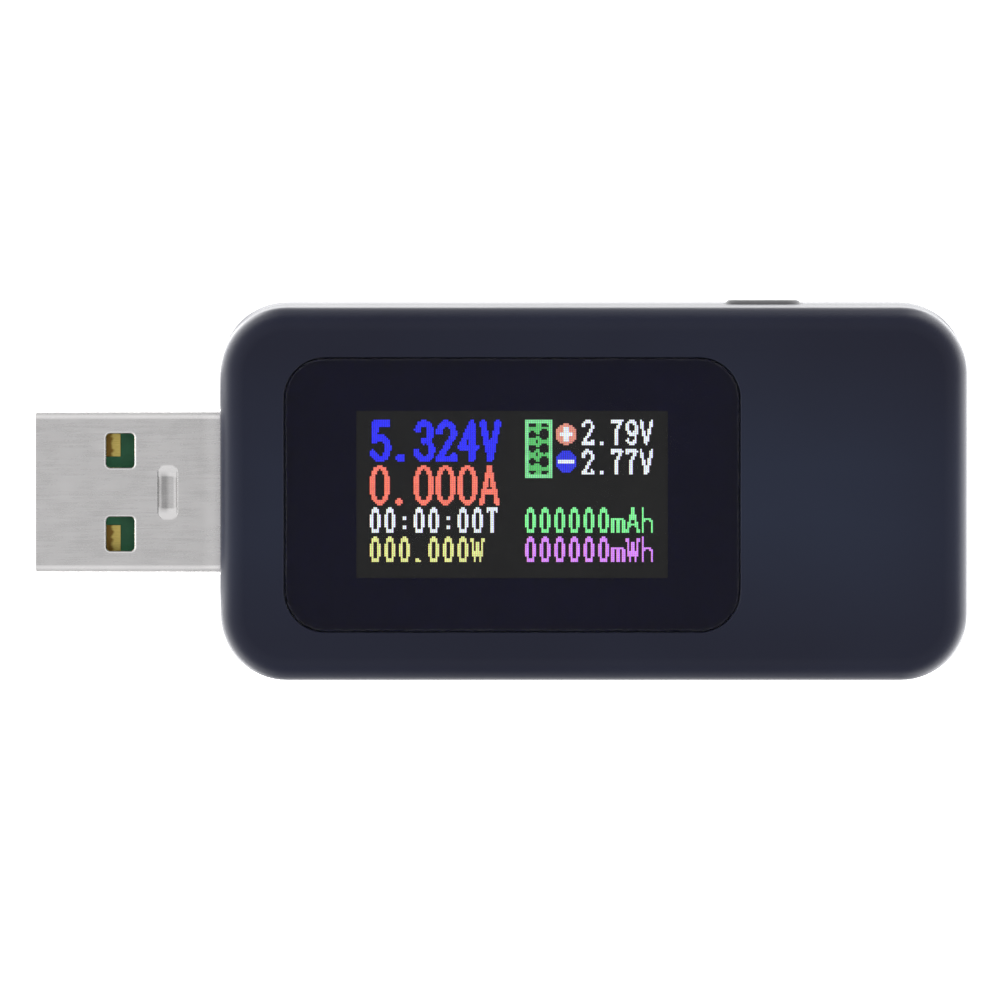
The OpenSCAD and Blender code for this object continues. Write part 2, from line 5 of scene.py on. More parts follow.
import bmesh
import bpy
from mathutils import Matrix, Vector


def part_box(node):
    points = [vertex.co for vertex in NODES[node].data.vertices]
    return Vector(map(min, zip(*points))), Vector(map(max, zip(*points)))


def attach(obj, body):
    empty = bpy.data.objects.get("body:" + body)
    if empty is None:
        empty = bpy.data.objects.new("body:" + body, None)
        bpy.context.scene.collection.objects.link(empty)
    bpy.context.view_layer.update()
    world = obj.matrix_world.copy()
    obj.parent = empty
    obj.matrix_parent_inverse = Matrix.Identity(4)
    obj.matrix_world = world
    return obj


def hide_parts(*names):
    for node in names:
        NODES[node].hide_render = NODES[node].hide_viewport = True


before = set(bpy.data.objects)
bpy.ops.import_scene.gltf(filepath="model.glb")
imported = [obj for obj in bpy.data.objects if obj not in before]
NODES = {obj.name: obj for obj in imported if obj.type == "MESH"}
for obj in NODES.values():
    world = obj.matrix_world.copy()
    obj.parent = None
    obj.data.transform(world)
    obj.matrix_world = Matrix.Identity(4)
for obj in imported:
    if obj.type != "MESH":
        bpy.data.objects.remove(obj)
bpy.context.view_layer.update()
SCENE = bpy.context.scene
MM = 0.001

# ---------- Sizes in millimetres ----------
# Sizes that the frame gives are read from its boxes. The rest repeat the part's own values. CORNER is a radius in
# the outline, EDGE a rounding along it, FLARE the rounding of a hole's mouth, and GAP a clearance.


def span(node):
    low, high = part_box(node)
    return [v / MM for v in low], [v / MM for v in high]


def middle(node):
    low, high = span(node)
    return [(a + b) / 2 for a, b in zip(low, high)]


CASE_LOW, CASE_HIGH = span("front_shell")
CASE = (CASE_HIGH[0] - CASE_LOW[0], CASE_HIGH[1] - CASE_LOW[1])
HALF_X, HALF_Y = CASE[0] / 2, CASE[1] / 2
FACE = CASE_HIGH[2]
SEAM = span("main_board")[1][2]
CORNER = 4.8
FRONT_EDGE = 1.8
BACK_EDGE = 1.0
WALL = 1.2
SEAM_HALF = 0.08
SEAM_ROUND = 0.1
LIP_OUT, LIP_IN, LIP_TOP = 0.65, 1.15, 0.8
REBATE_IN, REBATE_TOP = 0.6, 0.85
LIP_GAP_PLUG, LIP_GAP_SOCKET = 6.6, 7.1
HOLE_GAP = 0.06
HOLE_DEPTH = 3

PANE_LOW, PANE_HIGH = span("display_window")
PANE_X = middle("display_window")[0]
PANE_GAP = 0.12
PANE = (PANE_HIGH[0] - PANE_LOW[0], PANE_HIGH[1] - PANE_LOW[1])
PANE_EDGE = 0.12
PANE_LIFT = 0.012  # keeps the pane's underside clear of the print behind it
RECESS = (PANE[0] + 2 * PANE_GAP, PANE[1] + 2 * PANE_GAP)
RECESS_CORNER = 3.0
RIM = 1.2
LEDGE_TOP = span("lcd_panel")[1][2]
LEDGE_BOTTOM = LEDGE_TOP - 0.8
MODULE_LOW, MODULE_HIGH = span("lcd_frame")
MODULE_GAP = 0.3
OPENING = (MODULE_HIGH[0] - MODULE_LOW[0] + 2 * MODULE_GAP, MODULE_HIGH[1] - MODULE_LOW[1] + 2 * MODULE_GAP)
OPENING_CORNER = 0.6

SHEET = 0.3  # steel of the plug and the socket
SLACK = 0.02  # between that steel and the insulator inside it
PLUG_TIP = span("plug_shell")[0][0]
PLUG = (12.0, 4.5)
PLUG_CORNER = 0.75
PLUG_FACE = SEAM + PLUG[1] / 2
PLUG_ROOT = -HALF_X + 5
WINDOW = (2.03, 2.45)
WINDOW_CORNER = 0.28
WINDOW_FLARE = 0.16
WINDOW_X, WINDOW_Y = PLUG_TIP + 5.22 + WINDOW[0] / 2, 3.02
BRIDGE = (1.4, 3.85)
BRIDGE_X = PLUG_TIP + 8.95
FOLD_SEAM = 0.03
CONTACTS_Y = (-3.5, -1, 1, 3.5)
PAD_END = PLUG_TIP + 6.2

SOCKET_LOW, SOCKET_HIGH = span("socket_shell")
SOCKET_REAR, SOCKET_MOUTH = SOCKET_LOW[0], SOCKET_HIGH[0]
SOCKET = (13.1, 5.72)
SOCKET_CORNER = 0.5
SOCKET_BASE = SOCKET_MOUTH - 11.9
TONGUE_FRONT = SOCKET_MOUTH - 1.7
TONGUE = (11.1, 1.84)
FINGER_Y = (-3.0, 3.0)
FINGER_BEND = 0.35

BUTTON_LOW, BUTTON_HIGH = span("button_cap")
BUTTON = (5.5, 2.2)
BUTTON_X, BUTTON_Z = middle("button_cap")[0], middle("button_cap")[2]
BUTTON_GAP = 0.1
BUTTON_EDGE = 0.34
ROUND_END = 0.02  # an end radius stays this far below half the width


# ---------- Mesh helpers: everything is built in millimetres and scaled at the end ----------


def outline(size, r, steps=10, centre=(0, 0)):
    """Points of a rounded rectangle, counterclockwise."""
    points = []
    for quarter, (sx, sy) in enumerate(((1, 1), (-1, 1), (-1, -1), (1, -1))):
        for i in range(steps + 1):
            a = math.pi / 2 * (quarter + i / steps)
            points.append((centre[0] + sx * (size[0] / 2 - r) + r * math.cos(a),
                           centre[1] + sy * (size[1] / 2 - r) + r * math.sin(a)))
    return points


PLACE = {
    "x": lambda u, v, w: (w, u, v),
    "y": lambda u, v, w: (u, w, v),
    "z": lambda u, v, w: (u, v, w),
}


def arc(centre, r, start, end, steps):
    """Points of an arc in a profile, with the angles in degrees."""
    return [(centre[0] + r * math.cos(math.radians(start + (end - start) * i / steps)),
             centre[1] + r * math.sin(math.radians(start + (end - start) * i / steps)))
            for i in range(steps + 1)]


def new_object(name, verts, faces):
    mesh = bpy.data.meshes.new(name)
    mesh.from_pydata([Vector(v) for v in verts], [], faces)
    tidy = bmesh.new()
    tidy.from_mesh(mesh)
    bmesh.ops.recalc_face_normals(tidy, faces=tidy.faces)
    tidy.to_mesh(mesh)
    tidy.free()
    obj = bpy.data.objects.new(name, mesh)
    SCENE.collection.objects.link(obj)
    return obj


def stacked(name, rings, loop=False):
    """A skin over rings of equal length: capped at both ends, or joined end to end."""
    n = len(rings[0])
    verts = [p for ring in rings for p in ring]
    faces = []
    for j in range(len(rings) if loop else len(rings) - 1):
        a, b = j * n, (j + 1) % len(rings) * n
        faces += [(a + i, a + (i + 1) % n, b + (i + 1) % n, b + i) for i in range(n)]
    if not loop:
        faces += [tuple(range(n))[::-1], tuple(range(len(verts) - n, len(verts)))]
    return new_object(name, verts, faces)


def turned(name, size, r, profile, axis="z", centre=(0, 0), steps=10, loop=False):
    """A rounded rectangle swept along an axis, where the profile gives its inset at each height."""
    rings = [[PLACE[axis](u, v, w)
              for u, v in outline((size[0] - 2 * inset, size[1] - 2 * inset), r - inset, steps, centre)]
             for inset, w in profile]
    return stacked(name, rings, loop)


def slab(name, low, high):
    """A box between two corners."""
    x, y, z = zip(low, high)
    verts = [(x[i], y[j], z[k]) for k in (0, 1) for i, j in ((0, 0), (1, 0), (1, 1), (0, 1))]
    faces = [(0, 1, 2, 3), (4, 5, 6, 7)] + [(i, (i + 1) % 4, (i + 1) % 4 + 4, i + 4) for i in range(4)]
    return new_object(name, verts, faces)


def prism(name, points, low, high):
    """A side view in X and Z, extruded along Y."""
    return stacked(name, [[(x, y, z) for x, z in points] for y in (low, high)])


def flared(name, size, r, low, high, flare, axis, centre, opens="high", past=1.0, steps=10):
    """A cutter whose walls open in a small rounded flare where they meet the surface at its high or low end."""
    curve = [math.pi / 2 * i / 4 for i in range(5)]
    if opens == "high":
        profile = [(0, low)]
        profile += [(-flare * (1 - math.cos(a)), high - flare + flare * math.sin(a)) for a in curve]
        profile.append((-flare, high + past))
    else:
        profile = [(0, high)]
        profile += [(-flare * (1 - math.cos(a)), low + flare - flare * math.sin(a)) for a in curve]
        profile.append((-flare, low - past))
    return turned(name, size, r, profile, axis, centre, steps)


def tube(name, size, r, sheet, low, high, steps=8):
    """A tube of folded sheet along X, with rounded ends."""
    e = sheet / 2
    ends = [(e - e * math.cos(math.pi * i / 6), low + e - e * math.sin(math.pi * i / 6)) for i in range(7)]
    ends += [(e + e * math.cos(math.pi * i / 6), high - e + e * math.sin(math.pi * i / 6)) for i in range(7)]
    return turned(name, size, r, ends, "x", (0, SEAM), steps, loop=True)


def combined(obj, others, how):
    """Applies a boolean with each of the other objects in turn and removes them."""
    for other in others:
        boolean = obj.modifiers.new("join", "BOOLEAN")
        boolean.operation, boolean.solver, boolean.object = how, "EXACT", other
        graph = bpy.context.evaluated_depsgraph_get()
        mesh = bpy.data.meshes.new_from_object(obj.evaluated_get(graph))
        obj.modifiers.clear()
        old, obj.data = obj.data, mesh
        bpy.data.meshes.remove(old)
        bpy.data.objects.remove(other)
    return obj


def cut(obj, *others):
    return combined(obj, others, "DIFFERENCE")


def joined(obj, *others):
    return combined(obj, others, "UNION")


MERGE = 0.0005  # points closer than this become one
SHARP = math.radians(35)  # steeper edges are drawn as edges
BEVELLED = math.radians(40)  # steeper edges are rounded where a piece has a bevel


def finished(obj, material, body, stands_for=(), bevel=0.0):
    """Scales a piece to metres, smooths it, and puts it on its body with its material."""
    mesh = obj.data
    work = bmesh.new()
    work.from_mesh(mesh)
    bmesh.ops.remove_doubles(work, verts=work.verts, dist=MERGE)
    bmesh.ops.dissolve_degenerate(work, edges=work.edges, dist=MERGE)
    if bevel:
        edges = [e for e in work.edges if len(e.link_faces) == 2 and e.calc_face_angle(0) > BEVELLED]
        bmesh.ops.bevel(work, geom=edges, offset=bevel, segments=2, profile=0.5, affect="EDGES",
                        clamp_overlap=True)
    for vert in work.verts:
        vert.co *= MM
    for face in work.faces:
        face.smooth = True
    for edge in work.edges:
        edge.smooth = len(edge.link_faces) == 2 and edge.calc_face_angle(0) < SHARP
    work.to_mesh(mesh)
    work.free()
    mesh.materials.clear()
    mesh.materials.append(material)
    weighted = obj.modifiers.new("normals", "WEIGHTED_NORMAL")
    weighted.keep_sharp = True
    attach(obj, body)
    if stands_for:
        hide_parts(*stands_for)
    return obj


# ---------- Materials ----------


def add_node(tree, kind, inputs, settings):
    """A node, with its inputs set to values or linked to sockets."""
    node = tree.nodes.new(kind)
    for key, value in settings.items():
        setattr(node, key, value)
    for key, value in dict(inputs).items():
        if isinstance(value, bpy.types.NodeSocket):
            tree.links.new(value, node.inputs[key])
        else:
            node.inputs[key].default_value = value
    return node


class Maker:
    """Builds the node tree of one material. Sizes of noise and bumps are in millimetres, and place is in metres."""

    def __init__(self, name):
        self.material = bpy.data.materials.new(name)
        self.material.use_nodes = True
        self.tree = self.material.node_tree
        self.tree.nodes.clear()
        self.place = self.add("ShaderNodeTexCoord").outputs["Object"]

    def add(self, kind, inputs=(), **settings):
        return add_node(self.tree, kind, inputs, settings)

    def axes(self):
        return self.add("ShaderNodeSeparateXYZ", {"Vector": self.place}).outputs[:3]

    def noise(self, size_mm, detail=3.0, stretch=(1, 1, 1), rough=0.5):
        """Noise whose features are about the given size."""
        scale = [s / (size_mm * MM) for s in stretch]
        mapped = self.add("ShaderNodeMapping", {"Vector": self.place, "Scale": scale})
        return self.add("ShaderNodeTexNoise", {"Vector": mapped.outputs[0], "Scale": 1.0, "Detail": detail,
                                               "Roughness": rough}).outputs["Fac"]

    def ranged(self, value, low, high, from_low=0.3, from_high=0.7):
        """Runs from low to high as the value runs over its range, which for noise is 0.3 to 0.7."""
        return self.add("ShaderNodeMapRange", {"Value": value, "From Min": from_low, "From Max": from_high,
                                               "To Min": low, "To Max": high}).outputs[0]

    def mixed(self, factor, a, b):
        """A mix of two colours, where the first may be a socket."""
        first = a if isinstance(a, bpy.types.NodeSocket) else (*a, 1)
        return self.add("ShaderNodeMix", {0: factor, 6: first, 7: (*b, 1)}, data_type="RGBA").outputs[2]

    def math(self, operation, a, b=0.0):
        return self.add("ShaderNodeMath", {0: a, 1: b}, operation=operation).outputs[0]

    def times(self, a, b):
        return self.math("MULTIPLY", a, b)

    def plus(self, a, b):
        return self.math("ADD", a, b)

    def size(self, a):
        return self.math("ABSOLUTE", a)

    def bump(self, height, depth_mm, strength=1.0, below=None):
        inputs = {"Height": height, "Distance": depth_mm * MM, "Strength": strength}
        if below is not None:
            inputs["Normal"] = below
        return self.add("ShaderNodeBump", inputs).outputs[0]

    def done(self, **inputs):
        names = {key.replace("_", " "): value for key, value in inputs.items()}
        shader = self.add("ShaderNodeBsdfPrincipled", names)
        self.add("ShaderNodeOutputMaterial", {"Surface": shader.outputs[0]})
        return self.material


def shade(colour, factor):
    return [min(1, c * factor) for c in colour]


def surface(name, colour, rough=0.5, spread=0.06, patch=2.0, tone=0.12, grain=0.1, depth=0.004,
            stretch=(1, 1, 1), **inputs):
    """A surface with broad changes of tone, uneven gloss and a fine grain."""
    m = Maker(name)
    broad = m.noise(patch, 4)
    fine = m.noise(grain, 2, stretch)
    tint = m.mixed(m.ranged(broad, 0, 1), shade(colour, 1 - tone), shade(colour, 1 + tone))
    gloss = m.ranged(m.plus(m.times(broad, 0.5), m.times(fine, 0.5)), rough - spread, rough + spread)
    return m.done(Base_Color=tint, Roughness=gloss, Normal=m.bump(fine, depth), **inputs)


def case_plastic():
    """Fine spark-eroded texture on moulded black-blue plastic: a faint flow pattern, and a painted highlight that
    makes the face lighter along its middle.
    """
    m = Maker("case_plastic_fine")
    flow = m.noise(16.0, 3, (0.7, 1, 1))
    texture = m.noise(0.09, 2)
    speck = m.noise(0.035, 1)
    x, y, _ = m.axes()
    # Painted highlight: lighter towards the middle of the face, in place of an overhead light's reflection
    painted_sheen_mask = m.times(m.ranged(m.size(y), 0.7, 0, 0.002, 0.0105), m.ranged(m.size(x), 1, 0.5, 0.018, 0.026))
    tint = m.mixed(m.plus(painted_sheen_mask, m.ranged(flow, 0, 0.3)), (0.0049, 0.0060, 0.0192), (0.0112, 0.0168, 0.0385))
    gloss = m.ranged(m.plus(m.times(flow, 0.4), m.times(texture, 0.6)), 0.36, 0.44)
    grain = m.bump(speck, 0.0012, 1.0, m.bump(texture, 0.0022))
    return m.done(Base_Color=tint, Roughness=gloss, Normal=grain, Specular_IOR_Level=0.245)


def button_plastic():
    """Smoother dark grey plastic."""
    m = Maker("button_plastic_smooth")
    flow = m.noise(2.5, 3)
    texture = m.noise(0.12, 2)
    tint = m.mixed(m.ranged(flow, 0, 1), (0.126, 0.126, 0.130), (0.146, 0.146, 0.150))
    return m.done(Base_Color=tint, Roughness=m.ranged(texture, 0.34, 0.42), Normal=m.bump(texture, 0.0015),
                  Specular_IOR_Level=0.5)


NICKEL = (0.705, 0.692, 0.686)
BRIDGE_SHADE = 0.42  # tone of the nickel under the painted shade in the pressed bridge's recess
BRIGHT = 1.32  # and with the painted highlight along the plug's edges and the painted light beside the case


def usb_steel(name, bridge_shade_x=None):
    """Satin nickel plate with a faint cloudy tone. The plug's has a painted highlight along its edges, painted
    light beside the case that covers the case's dark reflection, and painted shade in its pressed bridge's recess,
    whose middle the second argument gives."""
    m = Maker(name)
    cloud = m.noise(2.2, 4)
    lines = m.noise(0.10, 2, (0.04, 1, 1))
    rubbed = m.noise(1.2, 5, (0.7, 1, 1), 0.6)
    tint = m.mixed(m.ranged(cloud, 0, 1), shade(NICKEL, 0.97), shade(NICKEL, 1.025))
    if bridge_shade_x is not None:
        x, y, z = m.axes()
        # Painted shade: a dark, uneven patch on the tip side of the pressed bridge, where its recess lies in shade
        beside = m.size(m.math("SUBTRACT", x, bridge_shade_x * MM))
        near = m.times(m.ranged(beside, 1, 0, 0.14 * MM, 0.44 * MM), m.ranged(m.size(y), 1, 0, 1.1 * MM, 1.55 * MM))
        near = m.times(near, m.ranged(z, 0, 0.75, SEAM * MM, (SEAM + 0.5) * MM))
        bridge_shade_mask = m.times(near, m.ranged(m.noise(0.5, 3, (1, 0.5, 1)), 0.7, 1.0))
        tint = m.mixed(bridge_shade_mask, tint, shade(NICKEL, BRIDGE_SHADE))
        # Painted highlight along the plug's long edges, and painted light beside the case that covers the case's
        # dark reflection in the steel
        edge_highlight = m.ranged(m.size(y), 0, 0.5, 5.45 * MM, 5.75 * MM)
        painted_fill_by_case = m.ranged(x, 0, 0.85, -28.4 * MM, -27.0 * MM)
        tint = m.mixed(m.math("MAXIMUM", edge_highlight, painted_fill_by_case), tint, shade(NICKEL, BRIGHT))
    gloss = m.plus(m.ranged(lines, 0.26, 0.30), m.ranged(rubbed, -0.015, 0.015))
    relief = m.bump(cloud, 0.004, 0.5, m.bump(lines, 0.0002))
    return m.done(Base_Color=tint, Metallic=1.0, Roughness=gloss, Normal=relief)


def gold_with_painted_shadow(name):
    """Gold plate on the plug's pads, with a painted shadow: a ragged brown band along the window's tip-side edge
    and under the shell beyond it.
    """
    m = Maker(name)
    x, _, _ = m.axes()
    # Painted shadow: a brown band that the edge of the shell's window would cast on the pads
    ragged = m.ranged(m.noise(0.35, 3, (0.3, 1, 1)), -0.14, 0.14)
    edge = (PAD_END - 0.56) * MM
    at = m.plus(x, m.times(ragged, MM))
    window_edge_shadow = m.times(m.ranged(at, 1, 0, edge - 0.12 * MM, edge + 0.08 * MM),
                   m.ranged(at, 0, 1, edge - 1.6 * MM, edge - 0.9 * MM))
    grain = m.noise(0.06, 2, (0.1, 1, 1))
    bright = m.mixed(m.ranged(grain, 0, 1), (0.56, 0.435, 0.120), (0.67, 0.53, 0.165))
    tint = m.mixed(window_edge_shadow, bright, (0.24, 0.14, 0.035))
    return m.done(Base_Color=tint, Metallic=1.0, Roughness=m.ranged(grain, 0.30, 0.42),
                  Normal=m.bump(grain, 0.0015))


def clear_pane():
    """Polished clear acrylic, with faint haze where it has been wiped."""
    m = Maker("window_clear_acrylic")
    haze = m.noise(6.0, 5, (1, 0.5, 1))
    tint = m.mixed(m.ranged(haze, 0, 1), (0.86, 0.87, 0.90), (0.90, 0.91, 0.93))
    return m.done(Base_Color=tint, Roughness=m.ranged(haze, 0.015, 0.045), IOR=1.30, Transmission_Weight=1.0)


def display_glass():
    """Dark panel behind its polariser, with the weak grey glow of a backlight leaking through black."""
    m = Maker("display_glass_dark")
    glow = m.noise(5.0, 2)
    tint = m.mixed(m.ranged(glow, 0, 1), (0.0060, 0.0058, 0.0056), (0.0075, 0.0072, 0.0068))
    light = m.mixed(m.ranged(glow, 0, 1), (0.90, 0.90, 0.88), (1.0, 1.0, 0.98))
    return m.done(Base_Color=tint, Roughness=m.ranged(glow, 0.30, 0.40), Emission_Color=light,
                  Emission_Strength=0.0110, Specular_IOR_Level=0.03)


CELL = 0.132
UNEVEN = (0.9, 1.08)


def lit_cells(name, colour, strength):
    """Lit display cells: three colour stripes in each cell, and a slightly uneven brightness."""
    m = Maker(name)
    x, _, _ = m.axes()
    phase = m.math("FRACT", m.times(m.plus(x, 1.0), 1 / (CELL * MM)))
    uneven = m.ranged(m.noise(0.5, 2), *UNEVEN)
    channels = []
    for i, level in enumerate(colour):
        near = m.size(m.math("SUBTRACT", phase, (i + 0.5) / 3))
        stripe = m.ranged(near, 1.5, 0.75, 0.12, 0.22)
        channels.append(m.times(m.times(stripe, uneven), level))
    light = m.add("ShaderNodeCombineColor", {0: channels[0], 1: channels[1], 2: channels[2]}).outputs[0]
    return m.done(Base_Color=(0.02, 0.02, 0.02, 1), Roughness=m.ranged(uneven, 0.35, 0.45, *UNEVEN),
                  Emission_Color=light, Emission_Strength=strength)


STEEL = usb_steel("usb_steel_satin")
PLUG_STEEL = usb_steel("plug_steel_satin", BRIDGE_X + 0.42)
GREEN = surface("green_insulator_moulded", (0.030, 0.150, 0.072), 0.42, patch=1.2, grain=0.15, depth=0.004,
                Specular_IOR_Level=0.28)
GOLD = surface("gold_contact_plate", (0.72, 0.48, 0.16), 0.30, patch=0.6, tone=0.15, grain=0.06, depth=0.0015,
               stretch=(0.1, 1, 1), Metallic=1.0)
CASE_MAT = case_plastic()

KEPT = {
    "window_mask": surface("mask_print_black", (0.0034, 0.0030, 0.0200), 0.6, patch=7, tone=0.12, grain=0.4,
                           depth=0.0005, Specular_IOR_Level=0.03),
    "window_tape": surface("tape_black", (0.03, 0.03, 0.03), 0.8, grain=0.15, depth=0.01),
    "lcd_frame": surface("lcd_frame_white", (0.80, 0.80, 0.78), 0.45, grain=0.2, depth=0.003),
    "lcd_panel": display_glass(),
    "lcd_light_guide": surface("light_guide_clear", (0.90, 0.92, 0.95), 0.15, grain=0.3, depth=0.001,
                               Transmission_Weight=0.6),
    "lcd_leds": surface("led_yellow_phosphor", (0.90, 0.80, 0.40), 0.4, patch=0.5, grain=0.1, depth=0.002),
    "lcd_flex": surface("flex_film_amber", (0.55, 0.27, 0.06), 0.3, patch=1.5, grain=0.3, depth=0.002,
                        stretch=(0.1, 1, 1)),
    "foam_pad": surface("foam_dark", (0.06, 0.06, 0.065), 0.95, grain=0.25, depth=0.05),
    "main_board": surface("board_green_mask", (0.02, 0.16, 0.07), 0.3, patch=1.5, tone=0.25, grain=0.25,
                          depth=0.004),
    "mcu_chip": surface("mcu_epoxy", (0.022, 0.022, 0.023), 0.55, grain=0.08, depth=0.006),
    "mcu_leads": surface("mcu_leads_tin", (0.70, 0.70, 0.70), 0.35, patch=0.4, grain=0.05, Metallic=1.0),
    "memory_chip": surface("memory_epoxy", (0.025, 0.025, 0.025), 0.5, grain=0.08, depth=0.006),
    "voltage_regulator": surface("regulator_epoxy", (0.02, 0.02, 0.022), 0.6, grain=0.1, depth=0.006),
    "shunt_resistor": surface("shunt_glaze", (0.05, 0.05, 0.05), 0.3, patch=1, grain=0.15),
    "capacitors": surface("capacitor_ceramic", (0.42, 0.30, 0.18), 0.5, patch=0.6, grain=0.08),
    "resistors": surface("resistor_glaze", (0.03, 0.03, 0.03), 0.3, patch=0.5, grain=0.08),
    "plug_contacts": gold_with_painted_shadow("plug_gold"),
    "socket_contacts": GOLD,
    "switch_base": surface("switch_black", (0.02, 0.02, 0.02), 0.5, grain=0.1),
    "switch_cover": surface("switch_cover_tin", (0.70, 0.70, 0.70), 0.3, grain=0.06, depth=0.001,
                            stretch=(1, 0.1, 1), Metallic=1.0),
    "switch_dome": surface("switch_dome_steel", (0.70, 0.70, 0.70), 0.2, patch=0.5, grain=0.05, Metallic=1.0),
    "switch_plunger": surface("plunger_white", (0.80, 0.80, 0.76), 0.45, patch=0.8, grain=0.1),
    "switch_terminals": surface("terminal_tin", (0.72, 0.72, 0.72), 0.35, patch=0.4, grain=0.05, Metallic=1.0),
}
for node, material in KEPT.items():
    NODES[node].data.materials.clear()
    NODES[node].data.materials.append(material)

# ---------- Case ----------


STEPS = 16  # to a quarter turn of the case's corners


def plug_hole():
    return flared("hole", (PLUG[0] + 2 * HOLE_GAP, PLUG[1] + 2 * HOLE_GAP), PLUG_CORNER + HOLE_GAP,
                  -HALF_X, -HALF_X + HOLE_DEPTH, 0.15, "x", (0, SEAM), opens="low")


def socket_hole():
    return flared("hole", (SOCKET[0] + 2 * HOLE_GAP, SOCKET[1] + 2 * HOLE_GAP), SOCKET_CORNER + HOLE_GAP,
                  HALF_X - HOLE_DEPTH, HALF_X, 0.2, "x", (0, SEAM))


seam_top = SEAM + SEAM_HALF
front = turned("front_case", CASE, CORNER, [
    (WALL, FACE - WALL), (WALL, SEAM + REBATE_TOP), (REBATE_IN, SEAM + REBATE_TOP), (REBATE_IN, seam_top),
    *arc((SEAM_ROUND, seam_top + SEAM_ROUND), SEAM_ROUND, 270, 180, 3),
    *[(FRONT_EDGE - a, FACE - FRONT_EDGE + b) for a, b in arc((0, 0), FRONT_EDGE, 0, 90, 14)],
], steps=STEPS)
rim = turned("rim", (RECESS[0] + 2 * RIM, RECESS[1] + 2 * RIM), RECESS_CORNER + RIM,
             [(0, LEDGE_BOTTOM), (0, FACE - WALL / 2)], centre=(PANE_X, 0))
recess = flared("recess", RECESS, RECESS_CORNER, LEDGE_TOP, FACE, 0.10, "z", (PANE_X, 0), steps=STEPS)
opening = turned("opening", OPENING, OPENING_CORNER, [(0, LEDGE_BOTTOM - 1), (0, LEDGE_TOP + 0.5)],
                 centre=(PANE_X, 0))
front = joined(front, rim)
front = cut(front, recess, opening, plug_hole(), socket_hole())
finished(front, CASE_MAT, "meter", ["front_shell"])

seam_low = SEAM - SEAM_HALF
lip_top = SEAM + LIP_TOP
back = turned("back_case", CASE, CORNER, [
    (WALL, WALL), (WALL, seam_low - SEAM_ROUND), (LIP_IN, seam_low - SEAM_ROUND), (LIP_IN, lip_top - SEAM_ROUND),
    (LIP_IN - SEAM_ROUND, lip_top), (LIP_OUT + SEAM_ROUND, lip_top), (LIP_OUT, lip_top - SEAM_ROUND),
    (LIP_OUT, seam_low), *arc((SEAM_ROUND, seam_low - SEAM_ROUND), SEAM_ROUND, 90, 180, 3),
    *[(BACK_EDGE - a, BACK_EDGE - b) for a, b in arc((0, 0), BACK_EDGE, 0, 90, 12)],
], steps=STEPS)
breaks = [slab("break", (-HALF_X - 1, -LIP_GAP_PLUG, seam_low), (-HALF_X + 2, LIP_GAP_PLUG, SEAM + 2)),
          slab("break", (HALF_X - 2, -LIP_GAP_SOCKET, seam_low), (HALF_X + 1, LIP_GAP_SOCKET, SEAM + 2))]
button_hole = flared("hole", (BUTTON[0] + 2 * BUTTON_GAP, BUTTON[1] + 2 * BUTTON_GAP),
                     BUTTON[1] / 2 + (BUTTON_GAP - ROUND_END), HALF_Y - HOLE_DEPTH, HALF_Y, 0.12,
                     "y", (BUTTON_X, BUTTON_Z))
back = cut(back, *breaks, plug_hole(), socket_hole(), button_hole)
finished(back, CASE_MAT, "meter", ["back_shell"])

pane_top, pane_low = PANE_HIGH[2], PANE_LOW[2]
pane = turned("window_pane", PANE, RECESS_CORNER - PANE_GAP, [
    (0.05, pane_low + PANE_LIFT), (0, pane_low + 0.06), (0, pane_top - PANE_EDGE),
    *[(PANE_EDGE - a, pane_top - PANE_EDGE + b) for a, b in arc((0, 0), PANE_EDGE, 15, 90, 4)],
], centre=(PANE_X, 0), steps=STEPS)
finished(pane, clear_pane(), "meter", ["display_window"])

# ---------- Readings on the display ----------
# The lit cells of the display stand on the panel, one small block for each. A glyph is a set of strokes drawn in a
# box one unit wide and one unit high, with y running down, and it lights the cells that its strokes cover.

GRID = (160, 80)
GRID_SHIFT = (0.141, 0.12)  # from the middle of the pane to the middle of the cells
BLOCK = 0.92  # of a cell's width
BLOCK_HEIGHT = 0.02


def oval(cx, cy, rx, ry, start=0, end=360, steps=28):
    """Part of an ellipse; the angle starts at the right and turns clockwise on the display."""
    return [(cx + rx * math.cos(math.radians(start + (end - start) * i / steps)),
             cy + ry * math.sin(math.radians(start + (end - start) * i / steps))) for i in range(steps + 1)]


